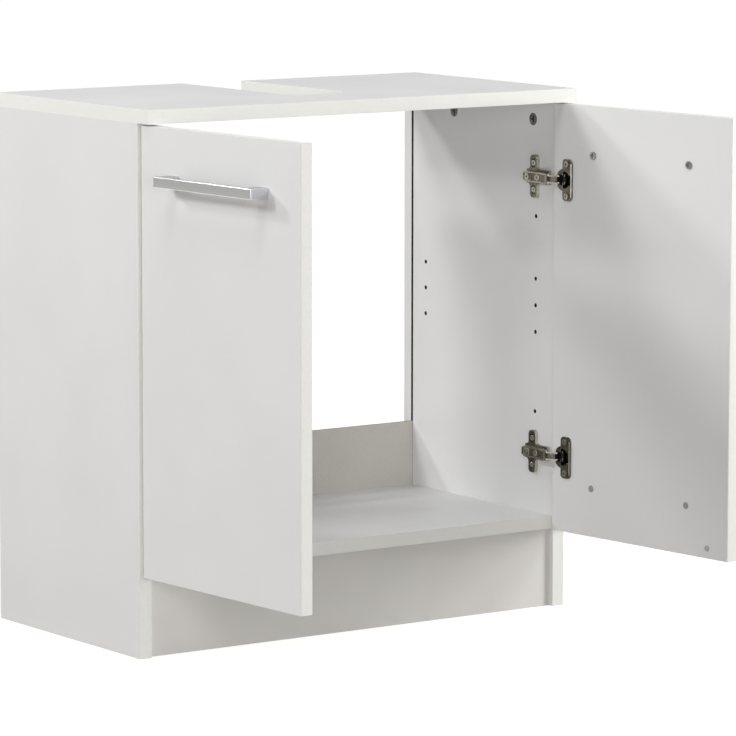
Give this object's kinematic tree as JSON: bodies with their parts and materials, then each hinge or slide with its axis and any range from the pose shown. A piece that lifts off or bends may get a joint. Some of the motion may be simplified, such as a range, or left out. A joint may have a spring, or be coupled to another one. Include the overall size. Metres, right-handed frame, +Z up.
{
  "type": "washbasin base cabinet",
  "caption": "White board base cabinet with an open back, U-shaped drain notch in the top, plinth, and two full-overlay doors on cup hinges with bow handles.",
  "frame": {"origin": "middle of the plinth board's foot, on the floor, halfway between the side panels", "axes": "+X to the right seen from the front, +Y to the back, +Z up"},
  "size_m": [0.6611, 0.6077, 0.622],
  "materials": {
    "white_board": "white melamine foil on particle board",
    "hardboard": "white-faced hardboard",
    "zinc": "zinc plated",
    "beech": "plain beech",
    "handle_metal": "satin anodised",
    "grey_plastic": "moulded",
    "clear_rubber": "soft, translucent",
    "nickel": "nickel plated",
    "steel_pin": "plain steel"
  },
  "bodies": {
    "cabinet": {"side_panel_left": "white_board", "side_panel_right": "white_board", "top_panel": "white_board", "bottom_panel": "white_board", "plinth": "white_board", "back_rail": "hardboard", "cam_locks": "zinc", "cam_bolts": "zinc", "dowels": "beech", "plate_screws": "zinc", "arm_fixing_screws": "zinc", "side_adjusting_screws": "zinc", "hinge_plate_left_lower": "nickel", "hinge_plate_left_upper": "nickel", "hinge_plate_right_lower": "nickel", "hinge_plate_right_upper": "nickel", "hinge_arm_left_lower": "nickel", "hinge_arm_left_upper": "nickel", "hinge_arm_right_lower": "nickel", "hinge_arm_right_upper": "nickel", "arm_pins_left_lower": "steel_pin", "arm_pins_left_upper": "steel_pin", "arm_pins_right_lower": "steel_pin", "arm_pins_right_upper": "steel_pin"},
    "outer_links_left": {"outer_link_left_lower": "nickel", "outer_link_left_upper": "nickel"},
    "inner_links_left": {"inner_link_left_lower": "nickel", "inner_link_left_upper": "nickel"},
    "door_left_leaf": {"door_left": "white_board", "handle_left": "handle_metal", "handle_screws_left": "zinc", "door_plugs_left": "grey_plastic", "door_bumper_left": "clear_rubber", "cup_screws_left": "zinc", "hinge_cup_left_lower": "nickel", "hinge_cup_left_upper": "nickel", "cup_pins_left_lower": "steel_pin", "cup_pins_left_upper": "steel_pin"},
    "outer_links_right": {"outer_link_right_lower": "nickel", "outer_link_right_upper": "nickel"},
    "inner_links_right": {"inner_link_right_lower": "nickel", "inner_link_right_upper": "nickel"},
    "door_right_leaf": {"door_right": "white_board", "handle_right": "handle_metal", "handle_screws_right": "zinc", "door_plugs_right": "grey_plastic", "door_bumper_right": "clear_rubber", "cup_screws_right": "zinc", "hinge_cup_right_lower": "nickel", "hinge_cup_right_upper": "nickel", "cup_pins_right_lower": "steel_pin", "cup_pins_right_upper": "steel_pin"}
  },
  "joints": [
    {"name": "door_left_swing", "type": "hinge", "parent": "outer_links_left", "child": "door_left_leaf", "pos_m": [-0.28552, -0.02659, 0.349], "axis": [0, 0, 1], "range_deg": [-10.42, 107.28]},
    {"name": "outer_links_left_swing", "type": "hinge", "parent": "cabinet", "child": "outer_links_left", "pos_m": [-0.2724, -0.0155, 0.349], "axis": [0, 0, 1], "range_deg": [-19.82, 1.97]},
    {"name": "inner_links_left_swing", "type": "hinge", "parent": "cabinet", "child": "inner_links_left", "pos_m": [-0.2724, -0.0107, 0.349], "axis": [0, 0, 1], "range_deg": [-4.34, 0.47]},
    {"name": "door_right_swing", "type": "hinge", "parent": "outer_links_right", "child": "door_right_leaf", "pos_m": [0.28516, -0.027, 0.349], "axis": [0, 0, -1], "range_deg": [-0.61, 117.08]},
    {"name": "outer_links_right_swing", "type": "hinge", "parent": "cabinet", "child": "outer_links_right", "pos_m": [0.2724, -0.0155, 0.349], "axis": [0, 0, -1], "range_deg": [-21.63, 0.16]},
    {"name": "inner_links_right_swing", "type": "hinge", "parent": "cabinet", "child": "inner_links_right", "pos_m": [0.2724, -0.0107, 0.349], "axis": [0, 0, -1], "range_deg": [-4.73, 0.07]}
  ],
  "couplings": [
    {"joint": "outer_links_left_swing", "follows": "door_left_swing", "ratio": -0.18434},
    {"joint": "inner_links_left_swing", "follows": "door_left_swing", "ratio": -0.039967},
    {"joint": "outer_links_right_swing", "follows": "door_right_swing", "ratio": -0.18434},
    {"joint": "inner_links_right_swing", "follows": "door_right_swing", "ratio": -0.039967}
  ]
}
